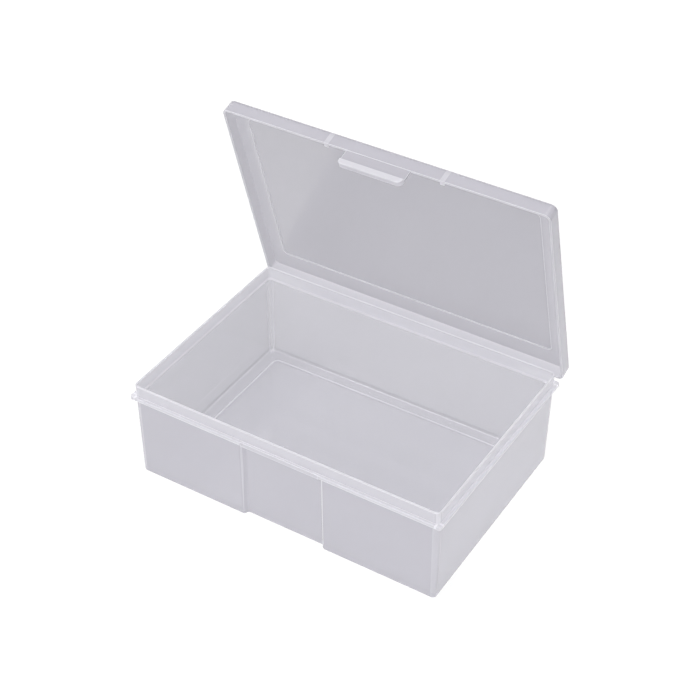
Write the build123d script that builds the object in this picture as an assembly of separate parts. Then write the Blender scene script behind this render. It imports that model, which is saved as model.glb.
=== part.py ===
from build123d import *
from math import atan, cos, degrees, radians, sin, tan
import os

os.makedirs("parts", exist_ok=True)

# All sizes are in millimetres. X runs left to right, Y front to back, Z up.
# The origin is under the middle of the box, on the plane it stands on.

# Box body, measured over the rim. Its walls lean in by wall_lean down to the foot.
box_width = 190.0
box_depth = 130.9
box_height = 62.4
wall_lean = 1.0
wall = 1.2
inner_corner_radius = 2.0
rim_rounding = 0.35

# Floor and the foot ring under it
floor_thickness = 1.8
floor_inner_radius = 0.9
foot_radius = 2.0
foot_ring_side = 9.2
foot_ring_front = 8.2
foot_panel_rise = 0.7
foot_panel_corner = 3.0

# Flange round the outside, below the rim
rim_above_flange = 7.05
flange_reach = 1.75
flange_thickness = 1.7
flange_corner_radius = 1.5
flange_rounding = 0.3

# Finger recess at the front, measured at the rim's level. Its flanks slant away from the
# front at recess_flank_angle.
recess_width = 46.6
recess_depth = 2.6
recess_flank_angle = 60.0
recess_corner_radius = 1.0

# Catch bar across the top of the recess
catch_bar_width = 48.4
catch_bar_reach = 1.25
catch_bar_height = 2.95
catch_bar_rounding = 0.4

# Lid
lid_overhang_side = 2.5
lid_panel = 1.2
lid_skirt = 1.3
lid_corner_radius = 3.6
lid_edge_radius = 0.9
lid_edge_rounding = 0.3
lid_raise = 0.6
lid_border_side = 9.9
lid_border_front = 9.9
lid_border_rear = 13.35
lid_field_corner = 3.0

# Gaps between the shut lid and the box
lid_above_flange = 0.15
lid_above_rim = 0.17
rib_to_rim = 0.3

# Locating ribs inside the front skirt. As a pair they sit a little right of the middle.
rib_width = 2.4
rib_spacing = 68.8
rib_offset = 2.6
rib_root = 0.6

# Film hinge
hinge_width = 140.0
hinge_film = 0.4
hinge_leaf = 1.2
hinge_leaf_height = 2.6
hinge_leaf_rounding = 0.6
hinge_leaf_root = 0.6
hinge_bend_radius = 3.0

# Latch tab
latch_width = 38.0
latch_length = 10.5
latch_thickness = 1.5
latch_to_catch_bar = 0.3
latch_corner_radius = 2.8
latch_crease = 0.3
grip_height = 3.7
grip_thickness = 1.2
grip_rounding = 0.35
hook_width = 30.0
hook_engagement = 0.6
hook_height = 1.5
hook_nose = 0.4
hook_below_bar = 0.2

# How far the lid stands open at rest
lid_open_angle = 73.4

# Levels that follow from the sizes above
flange_top = box_height - rim_above_flange
flange_bottom = flange_top - flange_thickness
catch_bar_bottom = flange_top - catch_bar_height
lid_bottom = flange_top + lid_above_flange
lid_roof = box_height + lid_above_rim
lid_top = lid_roof + lid_panel

# Outlines that follow from the sizes above
flange_width = box_width + 2 * flange_reach
flange_depth = box_depth + 2 * flange_reach
catch_bar_face = -box_depth / 2 - catch_bar_reach

# The latch hangs just clear of the catch bar, flush with the lid's front.
# The lid's back is flush with the flange.
latch_inner = catch_bar_face - latch_to_catch_bar
lid_front = latch_inner - latch_thickness
lid_rear = flange_depth / 2
lid_width = box_width + 2 * lid_overhang_side
lid_depth = lid_rear - lid_front
lid_middle = (lid_front + lid_rear) / 2

# The film folds about this line, halfway through its thickness
hinge_y = lid_rear + hinge_leaf - hinge_film / 2
hinge_z = flange_bottom + hinge_film / 2
hinge_axis = Axis((0, hinge_y, hinge_z), (1, 0, 0))

# How far a cutting block runs past what it cuts, and how near two points are one corner
overshoot = 10.0
near = 0.1


def plate(width, depth, radius, bottom, top):
    """A flat block with rounded upright corners, centred on the origin."""
    outline = Plane.XY.offset(bottom) * RectangleRounded(width, depth, radius)
    return extrude(outline, top - bottom)


def slab(width, front, back, bottom, top):
    """A square block, centred left to right."""
    block = Box(width, back - front, top - bottom)
    return block.translate((0, (front + back) / 2, (bottom + top) / 2))


def edges_at(shape, level):
    """The edges that lie at one level."""
    return shape.edges().filter_by_position(Axis.Z, level - near, level + near)


def corners_at(outline, x, y):
    """The two corners of an outline at x and at -x."""
    found = ShapeList()
    for corner in outline.vertices():
        if abs(abs(corner.X) - x) < near and abs(corner.Y - y) < near:
            found.append(corner)
    return found


def plain_outline():
    """The tray's outer outline at the rim."""
    return Sketch() + RectangleRounded(box_width, box_depth, inner_corner_radius + wall)


def recessed_outline():
    """The same outline with the finger recess in its front."""
    front = -box_depth / 2
    back = front + recess_depth
    half_back = recess_width / 2
    half_front = half_back + recess_depth / tan(radians(recess_flank_angle))
    notch = Polyline(
        (-half_front, front),
        (-half_back, back),
        (half_back, back),
        (half_front, front),
        close=True,
    )
    outline = plain_outline() - make_face(notch)
    outline = fillet(corners_at(outline, half_front, front), inner_corner_radius + wall)
    return fillet(corners_at(outline, half_back, back), recess_corner_radius)


def leaning_block(outline, inset, bottom, foot):
    """A block under an outline, a wall's inset inside it, leaning in down to a rounded foot."""
    if inset > 0:
        outline = offset(outline, -inset)
    lean_angle = degrees(atan(wall_lean / box_height))
    rim = Pos(0, 0, box_height) * outline
    block = extrude(rim, box_height - bottom, dir=(0, 0, -1), taper=lean_angle)
    tightest_corner = inner_corner_radius + wall - inset - wall_lean
    return fillet(edges_at(block, bottom), min(foot, tightest_corner - near))


def recessed_block(inset, bottom, foot):
    """The tray's outer or inner shape, with the recess in its front up to the catch bar."""
    recess_top = Plane.XY.offset(catch_bar_bottom + inset)
    lower = leaning_block(recessed_outline(), inset, bottom, foot)
    upper = leaning_block(plain_outline(), inset, bottom, foot)
    return split(lower, recess_top, keep=Keep.BOTTOM) + split(upper, recess_top, keep=Keep.TOP)


def body_outside():
    return recessed_block(0, 0, foot_radius)


def body_inside():
    """The space in the tray, which keeps one wall's thickness to the outside."""
    return recessed_block(wall, floor_thickness, floor_inner_radius)


def foot_panel():
    """The shallow space under the floor, inside the foot ring."""
    width = box_width - 2 * wall_lean - 2 * foot_ring_side
    depth = box_depth - 2 * wall_lean - 2 * foot_ring_front
    return plate(width, depth, foot_panel_corner, -overshoot, foot_panel_rise)


def flange():
    """The flange that the lid's skirt comes down to, cut back at the recess."""
    ring = plate(flange_width, flange_depth, flange_corner_radius, flange_bottom, flange_top)
    ring = fillet(edges_at(ring, flange_top), flange_rounding)
    front = catch_bar_face - overshoot
    notch = slab(catch_bar_width, front, catch_bar_face, flange_bottom, flange_top)
    return ring - notch


def catch_bar():
    """The bar across the top of the recess that the latch hooks under."""
    back = -box_depth / 2 + wall
    bar = slab(catch_bar_width, catch_bar_face, back, catch_bar_bottom, flange_top)
    front_edges = bar.edges().filter_by(Axis.X).sort_by(Axis.Y)[:2]
    return fillet(front_edges, catch_bar_rounding)


def box_body():
    body = body_outside() + flange() + catch_bar()
    body = body - body_inside() - foot_panel()
    return fillet(edges_at(body, box_height), rim_rounding)


def lid_shell():
    """The shut lid's panel and skirt, with its middle field raised by one step."""
    shell = plate(lid_width, lid_depth, lid_corner_radius, lid_bottom, lid_top)
    shell = fillet(edges_at(shell, lid_top), lid_edge_radius)
    field_width = lid_width - 2 * lid_border_side
    field_depth = lid_depth - lid_border_front - lid_border_rear
    field_middle = (0, (lid_border_front - lid_border_rear) / 2, 0)
    grow = 2 * lid_raise
    field_top = lid_top + lid_raise
    field = plate(field_width + grow, field_depth + grow, lid_field_corner, lid_roof, field_top)
    field = fillet(edges_at(field, field_top), lid_edge_rounding).translate(field_middle)
    inner_width = lid_width - 2 * lid_skirt
    inner_depth = lid_depth - 2 * lid_skirt
    inner_radius = lid_corner_radius - lid_skirt
    hollow = plate(inner_width, inner_depth, inner_radius, lid_bottom, lid_roof)
    hollow = fillet(edges_at(hollow, lid_roof), lid_edge_rounding)
    field_roof = lid_roof + lid_raise
    pocket = plate(field_width, field_depth, lid_field_corner, lid_bottom, field_roof)
    shell = shell + field - hollow - pocket.translate(field_middle)
    shell = fillet(edges_at(shell, lid_bottom), lid_edge_rounding)
    return shell.translate((0, lid_middle, 0))


def locating_ribs():
    """Two flat ribs in the front skirt that keep the lid centred on the rim."""
    front = lid_front + lid_skirt - rib_root
    back = -box_depth / 2 - rib_to_rim
    rib = slab(rib_width, front, back, lid_bottom, lid_roof + rib_root)
    left = rib.translate((rib_offset - rib_spacing / 2, 0, 0))
    right = rib.translate((rib_offset + rib_spacing / 2, 0, 0))
    return left + right


def hinge_leaf_bar():
    """The thickened strip on the rear skirt that the film runs into."""
    front = lid_rear - hinge_leaf_root
    back = lid_rear + hinge_leaf
    bar = slab(hinge_width, front, back, lid_bottom, lid_bottom + hinge_leaf_height)
    upper = bar.edges().filter_by(Axis.X).sort_by(Axis.Z)[-2:]
    return fillet(upper.sort_by(Axis.Y)[-1], hinge_leaf_rounding)


def opened(shape):
    """A piece of the shut lid, swung open to where it rests."""
    return shape.rotate(hinge_axis, -lid_open_angle)


def lid():
    return opened(lid_shell() + locating_ribs() + hinge_leaf_bar())


def latch_tab():
    """The flexible tab: a flat strip, a thumb grip at its tip and a hook behind."""
    tip = lid_bottom - latch_length
    grip_top = tip + grip_height
    grip_face = lid_front - grip_thickness
    strip = slab(latch_width, lid_front, latch_inner, tip, lid_bottom)
    crease = edges_at(strip, lid_bottom).filter_by(Axis.X).sort_by(Axis.Y)[0]
    strip = fillet(crease, latch_crease)
    grip = slab(latch_width, grip_face, latch_inner, tip, grip_top)
    tab = strip + grip
    tip_corners = edges_at(tab, tip).filter_by(Axis.Y)
    tab = fillet(tip_corners, latch_corner_radius)
    face_edges = tab.faces().sort_by(Axis.Y)[0].edges()
    tab = fillet(face_edges, grip_rounding)
    return opened(tab + hook())


def hook():
    """The ridge behind the tab that snaps under the catch bar, sloped to lead in."""
    face = catch_bar_face + hook_engagement
    top = catch_bar_bottom - hook_below_bar
    outline = Polyline(
        (latch_inner, top),
        (face, top),
        (face, top - hook_nose),
        (latch_inner, top - hook_height),
        close=True,
    )
    section = make_face(Plane.YZ.offset(-hook_width / 2) * outline)
    return extrude(section, hook_width, dir=(1, 0, 0))


def living_hinge():
    """The thin film, as it lies with the lid open at rest."""
    leg = lid_bottom - hinge_z
    turn = radians(lid_open_angle)
    root = (0, flange_depth / 2, hinge_z)
    fold = (0, hinge_y, hinge_z)
    end = (0, hinge_y + leg * sin(turn), hinge_z + leg * cos(turn))
    path = FilletPolyline(root, fold, end, radius=hinge_bend_radius)
    start = Plane(root, x_dir=(1, 0, 0), z_dir=(0, 1, 0))
    return sweep(start * Rectangle(hinge_width, hinge_film), path=path)


nodes = {
    "box_body": box_body(),
    "living_hinge": living_hinge(),
    "lid": lid(),
    "latch_tab": latch_tab(),
}

for name, shape in nodes.items():
    export_step(shape, f"parts/{name}.step")
    print(name, round(shape.volume, 1), "mm3, valid:", shape.is_valid)

latch_arm_y = lid_front - hinge_y
latch_arm_z = lid_bottom - hinge_z
turn = radians(lid_open_angle)
latch_y = hinge_y + latch_arm_y * cos(turn) + latch_arm_z * sin(turn)
latch_z = hinge_z - latch_arm_y * sin(turn) + latch_arm_z * cos(turn)
print("hinge line at y, z:", round(hinge_y, 4), round(hinge_z, 4))
print("latch line at y, z:", round(latch_y, 4), round(latch_z, 4))
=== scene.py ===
import math

import bpy
import numpy as np
from mathutils import Matrix, Vector


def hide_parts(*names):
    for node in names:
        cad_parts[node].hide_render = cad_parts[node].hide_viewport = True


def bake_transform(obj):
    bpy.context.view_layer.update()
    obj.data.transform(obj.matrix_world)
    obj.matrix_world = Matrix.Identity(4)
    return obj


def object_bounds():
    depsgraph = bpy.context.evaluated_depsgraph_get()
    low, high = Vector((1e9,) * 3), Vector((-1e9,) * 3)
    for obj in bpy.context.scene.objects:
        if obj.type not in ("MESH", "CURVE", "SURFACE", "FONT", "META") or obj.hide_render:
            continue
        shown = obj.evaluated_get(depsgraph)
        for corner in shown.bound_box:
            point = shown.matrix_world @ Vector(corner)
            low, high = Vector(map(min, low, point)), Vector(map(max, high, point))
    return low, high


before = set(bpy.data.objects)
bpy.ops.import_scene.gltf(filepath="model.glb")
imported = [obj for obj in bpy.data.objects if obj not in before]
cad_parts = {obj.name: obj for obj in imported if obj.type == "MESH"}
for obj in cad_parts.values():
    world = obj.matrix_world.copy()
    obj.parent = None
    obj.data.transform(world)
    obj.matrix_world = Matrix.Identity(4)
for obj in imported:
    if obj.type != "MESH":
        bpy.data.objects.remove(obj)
cadLow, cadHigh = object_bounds()
mm = 0.001

# The lid folds about a line along x, and stands open by this angle at rest
hingeLine = (68.2, 53.85)  # mm, along y and z
openAngle = 73.4  # degrees


# The camera stands where the photograph was taken from
cameraValues = {
    "place": (365.14, -591.87, 635.69),  # mm
    "turn": 31.50,  # degrees to the left of straight ahead
    "tilt": -38.493,  # degrees from level, down
    "roll": 0.290,  # degrees
    "lens": 85.24,  # mm
    "sensor": 36.0,  # mm
    "nearest": 0.05,  # m, nothing closer is drawn
}


def makeCamera(v):
    lens = bpy.data.cameras.new("camera")
    lens.sensor_width = v["sensor"]
    lens.lens = v["lens"]
    lens.clip_start = v["nearest"]
    camera = bpy.data.objects.new("camera", lens)
    bpy.context.scene.collection.objects.link(camera)
    turn = Matrix.Rotation(math.radians(v["turn"]), 4, "Z")
    tilt = Matrix.Rotation(math.radians(90 + v["tilt"]), 4, "X")
    roll = Matrix.Rotation(math.radians(v["roll"]), 4, "Z")
    place = Matrix.Translation(Vector(v["place"]) * mm)
    camera.matrix_world = place @ turn @ tilt @ roll
    bpy.context.scene.camera = camera


makeCamera(cameraValues)
print("camera placed")


# Small helpers for materials
def toLinear(hexColour):
    # each sRGB channel is turned to linear light, the short straight part included
    channels = [int(hexColour[i:i + 2], 16) / 255 for i in (1, 3, 5)]
    linear = [c / 12.92 if c <= 0.04045 else ((c + 0.055) / 1.055) ** 2.4 for c in channels]
    return (*linear, 1.0)


def addNode(tree, kind, settings, links):
    # settings are node properties or input values, links go from output sockets to inputs
    node = tree.nodes.new(kind)
    for name, value in settings.items():
        if isinstance(name, str) and hasattr(node, name):
            setattr(node, name, value)
        else:
            node.inputs[name].default_value = value
    for name, source in links.items():
        tree.links.new(source, node.inputs[name])
    return node


def newMaterial(name):
    material = bpy.data.materials.new(name)
    material.use_nodes = True
    material.node_tree.nodes.clear()
    return material, material.node_tree


# Natural polypropylene, injection moulded and left uncoloured: a milky, slightly cool plastic.
# To the eye it passes light but blurs it, looks lightest along edges and where it is thick,
# because light runs through it and comes out there, and has a soft gloss from the polished mould.
# Here nothing scatters inside the wall: the light edges are a painted highlight from a mask, the
# bright lines are painted highlights and the dark lines painted shade, drawn at their places, the
# lid is lighter towards the hinge as painted light, and the faces towards the inside, the lid and
# the tab get darker colours as painted shade.
# Bright and dark lines are (strength, box). A box gives (middle, half) in mm for each axis it
# names, and eitherX and eitherY are x and y counted from the middle to both sides.
bodyPlastic = {
    "colour": "#dad8e0",
    "cloudColour": "#d5d3db",
    "cloudSize": 28.0,  # mm
    "cloudDetail": 3.0,
    # painted highlight: the colour of the edges and the bright lines
    "paintedHighlightColour": "#f0eff5",
    "edgeReach": 0.9,  # mm
    "edgeTurn": (0.99, 0.85),  # cosine of true and rounded normal, where an edge starts and is full
    "edgeSamples": 6,
    "inner": ("#8c8a92", 0.7),  # the faces towards the inside get a darker colour, painted shade, and are clearer
    "paintedShadeColour": "#a3a3ac",  # of the painted shade lines
    "clarity": 0.55,  # how much of what lies behind shows through one face
    "clearColour": "#f6f6fa",
    "clearRoughness": 0.05,
    "lampLight": 0.8,  # how much of the lamps' light gets through one face
    "roughness": 0.22,
    "grainSize": 0.9,  # mm, drawn coarser than the mould's real 0.1 mm grain so that it shows
    "grainDetail": 2.0,
    "grainHeight": 0.001,  # mm
    "ior": 1.49,
    "turn": 0.0,  # degrees back to the shut box, where the lines are given
    "middle": (0.0, 0.0, 31.0),  # mm, inside the tray
    # painted highlights along edges, corners and thick parts, and the flange where it shows through the wall
    "paintedHighlightLines": [
        (0.7, {"z": (62.4, 0.4)}),  # the rim
        (0.2, {"eitherX": (95.6, 1.3), "z": (58.9, 3.5)}),  # the band between rim and flange, outside
        (0.2, {"eitherY": (66.1, 1.3), "z": (58.9, 3.5)}),
        (0.75, {"eitherX": (93.6, 0.6), "z": (58.6, 3.3)}),  # the same band, inside
        (0.75, {"eitherY": (64.1, 0.6), "z": (58.6, 3.3)}),
        (0.9, {"eitherX": (93.6, 0.6), "z": (54.75, 0.85)}),  # the flange's line, inside
        (0.9, {"eitherY": (64.1, 0.6), "z": (54.75, 0.85)}),
        (0.5, {"eitherX": (95.6, 1.3), "z": (54.4, 0.95)}),  # the flange
        (0.5, {"eitherY": (66.1, 1.3), "z": (54.4, 0.95)}),
        (0.35, {"x": (-25.2, 0.5), "y": (-65.2, 1.0), "z": (27.7, 24.9)}),  # the recess's left corner
        (0.7, {"x": (24.9, 1.0), "y": (-65.0, 1.4), "z": (27.7, 24.9)}),  # the recess's right corner
        (0.6, {"x": (0.0, 24.2), "y": (-66.0, 1.2), "z": (52.9, 0.5)}),  # under the catch bar
        (0.25, {"eitherX": (93.5, 2.2), "y": (-64.0, 2.2)}),  # the front upright corners
        (0.5, {"eitherX": (91.4, 0.5), "y": (63.0, 3.0)}),  # the two sides of each rear upright corner
        (0.5, {"eitherX": (93.0, 3.0), "y": (61.9, 0.5)}),
        (0.3, {"z": (0.0, 1.0)}),  # the foot's lowest edge
    ],
    "paintedShadeLines": [
        (0.25, {"z": (3.1, 1.3)}),  # painted shade where the walls turn into the floor
    ],
    # a painted highlight along the foot ring's inner edge, where it shows through the floor as a bright
    # outline
    "outline": {"halfWidth": 84.8, "halfDepth": 56.25, "middle": 0.0, "corner": 3.0, "top": 2.0},
    "outlineHalf": 0.4,  # mm, half of its width
    "outlineStrength": 0.75,
    "paintedHingeLight": 0.0,  # painted light: how much lighter the side at the hinge is
    "hingeSpan": (-65.0, 65.0),  # mm along y, where that starts and is full
    "blocked": 0.5,  # how much less shows through a bright or dark line
    "fieldColour": None,  # inside the outline
}

lidPlastic = dict(
    bodyPlastic,
    # the lid is drawn darker than the body, though it is the same plastic: painted shade
    colour="#c0bec6",
    cloudColour="#bbb9c1",
    clarity=0.45,
    turn=openAngle,
    paintedHighlightLines=[
        (0.6, {"z": (55.5, 0.3)}),  # the skirt's free edge
        (0.25, {"x": (-31.8, 1.4), "y": (-67.3, 1.6)}),  # the left locating rib
        (0.25, {"x": (37.0, 1.4), "y": (-67.3, 1.6)}),  # the right locating rib
    ],
    paintedShadeLines=[],
    # a painted highlight along the step round the raised field, and inside it a darker colour
    outline={"halfWidth": 87.6, "halfDepth": 56.225, "middle": -2.375, "corner": 3.0, "top": 70.0},
    outlineHalf=0.25,
    outlineStrength=0.35,
    edgeReach=0.5,
    inner=None,
    paintedHingeLight=0.2,  # painted light, as if thrown up from the tray below it
    blocked=0.7,
    fieldColour="#b2b0b8",
)
tabPlastic = dict(
    lidPlastic,
    # the tab is drawn darker still: painted shade
    colour="#bab8c0",
    cloudColour="#b5b3bb",
    clarity=0.35,
    paintedHighlightLines=[(0.45, {"z": (46.8, 2.0)})],  # painted highlight on the grip, which is thick
    outline=None,
    paintedHingeLight=0.0,
)
filmPlastic = dict(
    bodyPlastic,
    inner=None,
    paintedHighlightLines=[(0.6, {"z": (54.0, 5.0)})],  # the whole film
    paintedShadeLines=[],
    outline=None,
)


def lineMask(tree, place, lines):
    # the strongest of the lines at each point: within half of the middle on every axis named
    axes = addNode(tree, "ShaderNodeSeparateXYZ", {}, {0: place})
    eitherX = addNode(tree, "ShaderNodeMath", {"operation": "ABSOLUTE"}, {0: axes.outputs["X"]})
    eitherY = addNode(tree, "ShaderNodeMath", {"operation": "ABSOLUTE"}, {0: axes.outputs["Y"]})
    coordinates = {
        "x": axes.outputs["X"],
        "y": axes.outputs["Y"],
        "eitherX": eitherX.outputs[0],
        "eitherY": eitherY.outputs[0],
        "z": axes.outputs["Z"],
    }
    mask = None
    for strength, box in lines:
        line = None
        for axis, (middle, half) in box.items():
            within = addNode(
                tree, "ShaderNodeMath", {"operation": "COMPARE", 1: middle, 2: half},
                {0: coordinates[axis]},
            )
            if line is None:
                line = addNode(
                    tree, "ShaderNodeMath", {"operation": "MULTIPLY", 1: strength},
                    {0: within.outputs[0]},
                )
            else:
                line = addNode(
                    tree, "ShaderNodeMath", {"operation": "MULTIPLY"},
                    {0: within.outputs[0], 1: line.outputs[0]},
                )
        if mask is None:
            mask = line
        else:
            mask = addNode(
                tree, "ShaderNodeMath", {"operation": "MAXIMUM"},
                {0: mask.outputs[0], 1: line.outputs[0]},
            )
    return mask.outputs[0]


def outlineMasks(tree, place, v, half, strength):
    # a rounded rectangle seen from above: the length of what |p - middle| has over the straight
    # part of each side is the corner's radius on the outline, and less than that inside it
    straight = (v["halfWidth"] - v["corner"], v["halfDepth"] - v["corner"], 0.0)
    centred = addNode(
        tree, "ShaderNodeVectorMath", {"operation": "SUBTRACT", 1: (0, v["middle"], 0)},
        {0: place},
    )
    mirrored = addNode(tree, "ShaderNodeVectorMath", {"operation": "ABSOLUTE"}, {0: centred.outputs[0]})
    over = addNode(
        tree, "ShaderNodeVectorMath", {"operation": "SUBTRACT", 1: straight},
        {0: mirrored.outputs[0]},
    )
    level = addNode(
        tree, "ShaderNodeVectorMath", {"operation": "MULTIPLY", 1: (1, 1, 0)},
        {0: over.outputs[0]},
    )
    outside = addNode(
        tree, "ShaderNodeVectorMath", {"operation": "MAXIMUM", 1: (0, 0, 0)},
        {0: level.outputs[0]},
    )
    length = addNode(tree, "ShaderNodeVectorMath", {"operation": "LENGTH"}, {0: outside.outputs[0]})
    line = addNode(
        tree, "ShaderNodeMath", {"operation": "COMPARE", 1: v["corner"], 2: half},
        {0: length.outputs["Value"]},
    )
    faint = addNode(tree, "ShaderNodeMath", {"operation": "MULTIPLY", 1: strength}, {0: line.outputs[0]})
    inside = addNode(
        tree, "ShaderNodeMath", {"operation": "LESS_THAN", 1: v["corner"]},
        {0: length.outputs["Value"]},
    )
    axes = addNode(tree, "ShaderNodeSeparateXYZ", {}, {0: place})
    low = addNode(tree, "ShaderNodeMath", {"operation": "LESS_THAN", 1: v["top"]}, {0: axes.outputs["Z"]})
    lowLine = addNode(
        tree, "ShaderNodeMath", {"operation": "MULTIPLY"},
        {0: faint.outputs[0], 1: low.outputs[0]},
    )
    return lowLine.outputs[0], inside.outputs[0]


def makePolypropylene(name, v):
    material, tree = newMaterial(name)
    texture = addNode(tree, "ShaderNodeTexCoord", {}, {})
    # the place in mm, turned about the hinge line to where it is with the lid shut
    turn = math.radians(v["turn"])
    hinge = Vector((0, *hingeLine))
    moved = hinge - Matrix.Rotation(turn, 3, "X") @ hinge
    place = addNode(
        tree, "ShaderNodeMapping",
        {"Location": moved, "Rotation": (turn, 0, 0), "Scale": (1 / mm,) * 3},
        {"Vector": texture.outputs["Object"]},
    ).outputs[0]

    # the milky colour, a little cloudy from the flow in the mould
    clouds = addNode(
        tree, "ShaderNodeTexNoise",
        {"Scale": 1 / v["cloudSize"], "Detail": v["cloudDetail"]},
        {"Vector": place},
    )
    colour = addNode(
        tree, "ShaderNodeMix",
        {"data_type": "RGBA", 6: toLinear(v["colour"]), 7: toLinear(v["cloudColour"])},
        {0: clouds.outputs["Fac"]},
    )

    # faces towards the inside get a darker colour as painted shade, and are clearer:
    # the normal, as seen from outside the wall, points to the middle
    geometry = addNode(tree, "ShaderNodeNewGeometry", {}, {})
    clarity = None
    if v["inner"]:
        insideShadeColour, innerClarity = v["inner"]
        fromMiddle = addNode(
            tree, "ShaderNodeVectorMath", {"operation": "SUBTRACT", 1: v["middle"]},
            {0: place},
        )
        along = addNode(
            tree, "ShaderNodeVectorMath", {"operation": "DOT_PRODUCT"},
            {0: fromMiddle.outputs[0], 1: geometry.outputs["Normal"]},
        )
        away = addNode(
            tree, "ShaderNodeMath", {"operation": "GREATER_THAN", 1: 0.0},
            {0: along.outputs["Value"]},
        )
        turned = addNode(
            tree, "ShaderNodeMath", {"operation": "SUBTRACT"},
            {0: away.outputs[0], 1: geometry.outputs["Backfacing"]},
        )
        outer = addNode(tree, "ShaderNodeMath", {"operation": "ABSOLUTE"}, {0: turned.outputs[0]})
        colour = addNode(
            tree, "ShaderNodeMix", {"data_type": "RGBA", 6: toLinear(insideShadeColour)},
            {0: outer.outputs[0], 7: colour.outputs[2]},
        )
        clarity = addNode(
            tree, "ShaderNodeMapRange", {"To Min": innerClarity, "To Max": v["clarity"]},
            {"Value": outer.outputs[0]},
        )

    # painted highlight on edges: where a rounded normal differs from the true one
    rounded = addNode(
        tree, "ShaderNodeBevel", {"samples": v["edgeSamples"], "Radius": v["edgeReach"] * mm}, {},
    )
    alike = addNode(
        tree, "ShaderNodeVectorMath", {"operation": "DOT_PRODUCT"},
        {0: geometry.outputs["Normal"], 1: rounded.outputs["Normal"]},
    )
    edgeStart, edgeFull = v["edgeTurn"]
    edge = addNode(
        tree, "ShaderNodeMapRange", {"From Min": edgeStart, "From Max": edgeFull},
        {"Value": alike.outputs["Value"]},
    )
    # the painted highlight lines, joined with the painted edge highlight
    lines = lineMask(tree, place, v["paintedHighlightLines"])
    bright = addNode(tree, "ShaderNodeMath", {"operation": "MAXIMUM"}, {0: edge.outputs["Result"], 1: lines})
    # painted light: lighter towards the hinge
    if v["paintedHingeLight"]:
        sides = addNode(tree, "ShaderNodeSeparateXYZ", {}, {0: place})
        frontEnd, hingeEnd = v["hingeSpan"]
        towards = addNode(
            tree, "ShaderNodeMapRange",
            {"From Min": frontEnd, "From Max": hingeEnd, "To Max": v["paintedHingeLight"]},
            {"Value": sides.outputs["Y"]},
        )
        bright = addNode(
            tree, "ShaderNodeMath", {"operation": "MAXIMUM"},
            {0: bright.outputs[0], 1: towards.outputs["Result"]},
        )
    # a painted highlight along the outline, and the field's colour inside it
    if v["outline"]:
        outline, inside = outlineMasks(tree, place, v["outline"], v["outlineHalf"], v["outlineStrength"])
        bright = addNode(tree, "ShaderNodeMath", {"operation": "MAXIMUM"}, {0: bright.outputs[0], 1: outline})
        if v["fieldColour"]:
            colour = addNode(
                tree, "ShaderNodeMix", {"data_type": "RGBA", 7: toLinear(v["fieldColour"])},
                {0: inside, 6: colour.outputs[2]},
            )
    # less shows through the lines than through the plain wall
    solid = bright
    # painted shade lines, drawn in a darker colour
    if v["paintedShadeLines"]:
        dark = lineMask(tree, place, v["paintedShadeLines"])
        solid = addNode(tree, "ShaderNodeMath", {"operation": "MAXIMUM"}, {0: bright.outputs[0], 1: dark})
        colour = addNode(
            tree, "ShaderNodeMix", {"data_type": "RGBA", 7: toLinear(v["paintedShadeColour"])},
            {0: dark, 6: colour.outputs[2]},
        )
    # the painted highlight colour over the edges and the bright lines
    highlighted = addNode(
        tree, "ShaderNodeMix", {"data_type": "RGBA", 7: toLinear(v["paintedHighlightColour"])},
        {0: bright.outputs[0], 6: colour.outputs[2]},
    )

    # a milky and a clear plastic, mixed by how much shows through
    grain = addNode(
        tree, "ShaderNodeTexNoise",
        {"Scale": 1 / v["grainSize"], "Detail": v["grainDetail"]},
        {"Vector": place},
    )
    bump = addNode(
        tree, "ShaderNodeBump", {"Strength": 1.0, "Distance": v["grainHeight"] * mm},
        {"Height": grain.outputs["Fac"]},
    )
    milk = addNode(
        tree, "ShaderNodeBsdfPrincipled",
        {"IOR": v["ior"], "Roughness": v["roughness"]},
        {"Base Color": highlighted.outputs[2], "Normal": bump.outputs["Normal"]},
    )
    clear = addNode(
        tree, "ShaderNodeBsdfPrincipled",
        {
            "IOR": v["ior"],
            "Transmission Weight": 1.0,
            "Base Color": toLinear(v["clearColour"]),
            "Roughness": v["clearRoughness"],
        },
        {},
    )
    share = addNode(
        tree, "ShaderNodeMapRange",
        {"To Min": v["clarity"], "To Max": v["clarity"] * (1 - v["blocked"])},
        {"Value": solid.outputs[0]},
    )
    if clarity:
        tree.links.new(clarity.outputs["Result"], share.inputs["To Min"])
    both = addNode(
        tree, "ShaderNodeMixShader", {},
        {0: share.outputs["Result"], 1: milk.outputs["BSDF"], 2: clear.outputs["BSDF"]},
    )

    # the lamps' light gets through the walls, so the inside is as bright as the outside
    rays = addNode(tree, "ShaderNodeLightPath", {}, {})
    soft = addNode(
        tree, "ShaderNodeMath", {"operation": "MAXIMUM"},
        {0: rays.outputs["Is Shadow Ray"], 1: rays.outputs["Is Diffuse Ray"]},
    )
    passed = addNode(
        tree, "ShaderNodeMath", {"operation": "MULTIPLY", 1: v["lampLight"]},
        {0: soft.outputs[0]},
    )
    through = addNode(tree, "ShaderNodeBsdfTransparent", {"Color": (1, 1, 1, 1)}, {})
    whole = addNode(
        tree, "ShaderNodeMixShader", {},
        {0: passed.outputs[0], 1: both.outputs[0], 2: through.outputs[0]},
    )
    addNode(tree, "ShaderNodeOutputMaterial", {}, {"Surface": whole.outputs[0]})
    return material


finishes = {
    "box_body": makePolypropylene("mouldedNaturalPolypropyleneBody", bodyPlastic),
    "lid": makePolypropylene("mouldedNaturalPolypropyleneLid", lidPlastic),
    "latch_tab": makePolypropylene("mouldedNaturalPolypropyleneTab", tabPlastic),
}
for name, material in finishes.items():
    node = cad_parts[name]
    node.data.materials.clear()
    node.data.materials.append(material)
print("plastic made")


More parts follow.
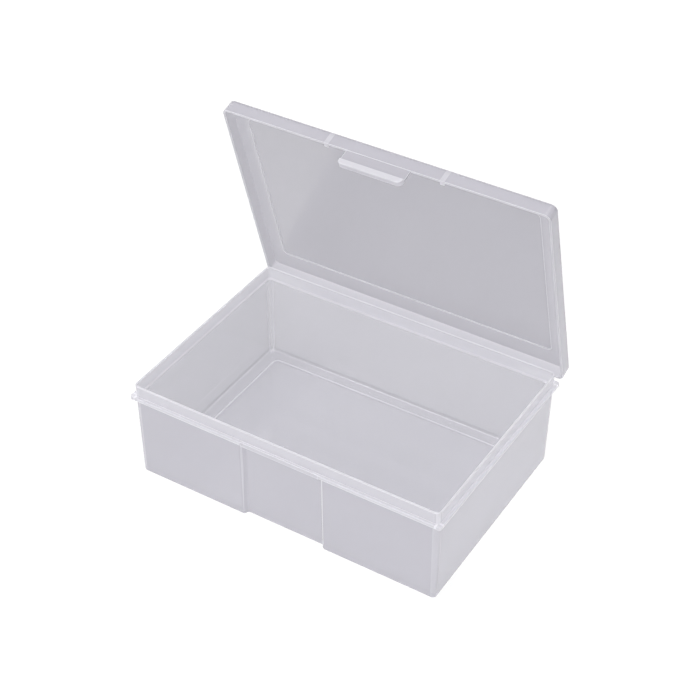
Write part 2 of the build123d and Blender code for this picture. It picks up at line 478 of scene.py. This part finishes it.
# The film hinge: a thin strip from the flange round the fold line to the lid's leaf
filmValues = {
    "width": 140.0,  # mm
    "thickness": 0.4,  # mm
    "root": (67.2, 53.85),  # mm along y and z, where it leaves the flange
    "fold": hingeLine,
    "leg": 1.65,  # mm from the fold to the lid
    "lidAngle": openAngle,
    "steps": 24,  # from the flange to the lid
    "stepsAcross": 70,  # along the hinge line
}


def filmPath(v):
    # a curve from the root to the lid's leaf, drawn towards the fold: with t from 0 to 1, the
    # root counts by the square of 1 - t, the fold by twice t times 1 - t, and the end by t squared
    turn = math.radians(v["lidAngle"])
    root = np.array(v["root"])
    fold = np.array(v["fold"])
    end = fold + v["leg"] * np.array([math.sin(turn), math.cos(turn)])
    t = np.linspace(0, 1, v["steps"] + 1)[:, None]
    path = (1 - t) ** 2 * root + 2 * t * (1 - t) * fold + t ** 2 * end
    along = np.gradient(path, axis=0)
    along /= np.linalg.norm(along, axis=1)[:, None]
    across = np.stack([-along[:, 1], along[:, 0]], axis=1)
    return path, across


def makeFilm(v):
    # the path's two faces, half the thickness to each side, joined into a closed ring
    # of points, and that ring carried along x
    path, across = filmPath(v)
    half = v["thickness"] / 2
    ring = np.concatenate([path + across * half, (path - across * half)[::-1]])
    xs = np.linspace(-v["width"] / 2, v["width"] / 2, v["stepsAcross"] + 1)
    rows, count = len(xs), len(ring)
    points = np.zeros((rows, count, 3))
    points[:, :, 0] = xs[:, None]
    points[:, :, 1:] = ring[None]
    i, j = np.meshgrid(np.arange(rows - 1), np.arange(count), indexing="ij")
    nextJ = (j + 1) % count
    sides = np.stack(
        [i * count + j, (i + 1) * count + j, (i + 1) * count + nextJ, i * count + nextJ], axis=-1,
    )
    # each end is closed by faces from one side of the ring to the other
    k = np.arange(count // 2 - 1)
    mirrorK = count - 1 - k
    ends = [
        row * count + np.stack([k, k + 1, mirrorK - 1, mirrorK], axis=-1)
        for row in (0, rows - 1)
    ]
    quads = np.concatenate([sides.reshape(-1, 4), ends[0], ends[1][:, ::-1]])
    mesh = bpy.data.meshes.new("hinge_film")
    mesh.from_pydata((points.reshape(-1, 3) * mm).tolist(), [], quads.tolist())
    mesh.validate()
    mesh.shade_smooth()
    film = bpy.data.objects.new("hinge_film", mesh)
    bpy.context.scene.collection.objects.link(film)
    film.data.materials.append(makePolypropylene("stretchedPolypropyleneFilm", filmPlastic))
    return film, path


film, path = makeFilm(filmValues)
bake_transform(film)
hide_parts("living_hinge")
print("hinge film made")


# A plain pale floor, soft light from above, and a white background
studioValues = {
    "floorSize": 8.0,  # m
    "floorDrop": 0.0001,  # m, so that the foot doesn't share its plane
    "floorColour": 0.8,  # for the light that it throws back on the box
    "seenFloorColour": 0.35,  # to the camera, and the more of it, the darker the shadow
    "seenFloorGlow": (0.68, 1.0),  # near the box and far from it
    "glowReach": (0.35, 1.2),  # m from the middle, where the one ends and the other starts
    "ambient": 0.2,  # the light from all round, where 1 is white
    "lampSize": 1.2,  # m
    # each lamp's power in W and its place in m
    "lamps": {
        "frontLamp": (6.7, (0.0, -1.6, 0.45)),
        "keyLamp": (14.6, (-0.6, -0.8, 1.5)),
        "topLamp": (8.5, (0.0, 0.0, 1.8)),
        "rightLamp": (9.3, (1.5, -0.3, 0.6)),
        "leftLamp": (3.5, (-1.5, -0.3, 0.7)),
        "backLamp": (9.2, (0.2, 1.6, 1.1)),
    },
}


def seenRays(tree):
    # 1 for what the camera sees straight, by gloss or through the plastic, 0 for other light
    path = addNode(tree, "ShaderNodeLightPath", {}, {})
    gloss = addNode(
        tree, "ShaderNodeMath", {"operation": "MAXIMUM"},
        {0: path.outputs["Is Camera Ray"], 1: path.outputs["Is Glossy Ray"]},
    )
    return addNode(
        tree, "ShaderNodeMath", {"operation": "MAXIMUM"},
        {0: gloss.outputs[0], 1: path.outputs["Is Transmission Ray"]},
    )


def makeFloor(v):
    half = v["floorSize"] / 2
    mesh = bpy.data.meshes.new("floor")
    corners = [(-half, -half, 0), (half, -half, 0), (half, half, 0), (-half, half, 0)]
    mesh.from_pydata(corners, [], [(0, 1, 2, 3)])
    floor = bpy.data.objects.new("floor", mesh)
    bpy.context.scene.collection.objects.link(floor)
    material, tree = newMaterial("mattPaperSweep")
    seen = seenRays(tree)
    colour = addNode(
        tree, "ShaderNodeMix",
        {
            "data_type": "RGBA",
            6: (v["floorColour"],) * 3 + (1,),
            7: (v["seenFloorColour"],) * 3 + (1,),
        },
        {0: seen.outputs[0]},
    )
    # away from the lamps the floor glows more, so that it stays as white as the background
    texture = addNode(tree, "ShaderNodeTexCoord", {}, {})
    distance = addNode(
        tree, "ShaderNodeVectorMath", {"operation": "LENGTH"}, {0: texture.outputs["Object"]},
    )
    nearGlow, farGlow = v["seenFloorGlow"]
    nearEnd, farStart = v["glowReach"]
    spread = addNode(
        tree, "ShaderNodeMapRange",
        {"From Min": nearEnd, "From Max": farStart, "To Min": nearGlow, "To Max": farGlow},
        {"Value": distance.outputs["Value"]},
    )
    glow = addNode(
        tree, "ShaderNodeMath", {"operation": "MULTIPLY"},
        {0: spread.outputs["Result"], 1: seen.outputs[0]},
    )
    matt = addNode(tree, "ShaderNodeBsdfDiffuse", {}, {"Color": colour.outputs[2]})
    light = addNode(tree, "ShaderNodeEmission", {}, {"Strength": glow.outputs[0]})
    both = addNode(tree, "ShaderNodeAddShader", {}, {0: matt.outputs[0], 1: light.outputs[0]})
    addNode(tree, "ShaderNodeOutputMaterial", {}, {"Surface": both.outputs[0]})
    mesh.materials.append(material)
    floor.location.z = -v["floorDrop"]


def makeWorld(v):
    world = bpy.data.worlds.new("studio")
    bpy.context.scene.world = world
    world.use_nodes = True
    tree = world.node_tree
    tree.nodes.clear()
    seen = seenRays(tree)
    # white to the eye, and dimmer for the light on the object
    strength = addNode(
        tree, "ShaderNodeMapRange", {"To Min": v["ambient"], "To Max": 1.0}, {"Value": seen.outputs[0]},
    )
    white = addNode(
        tree, "ShaderNodeBackground", {"Color": (1, 1, 1, 1)},
        {"Strength": strength.outputs["Result"]},
    )
    addNode(tree, "ShaderNodeOutputWorld", {}, {"Surface": white.outputs[0]})


def makeLamp(name, power, place, size):
    light = bpy.data.lights.new(name, "AREA")
    light.shape = "SQUARE"
    light.size = size
    light.energy = power
    lamp = bpy.data.objects.new(name, light)
    bpy.context.scene.collection.objects.link(lamp)
    # it points at the middle of the object
    middle = (cadLow + cadHigh) / 2
    towards = middle - Vector(place)
    lamp.location = place
    lamp.rotation_mode = "QUATERNION"
    lamp.rotation_quaternion = towards.to_track_quat("-Z", "Y")


makeFloor(studioValues)
makeWorld(studioValues)
for name, (power, place) in studioValues["lamps"].items():
    makeLamp(name, power, place, studioValues["lampSize"])
bpy.context.scene.view_settings.view_transform = "Standard"
print("studio made")
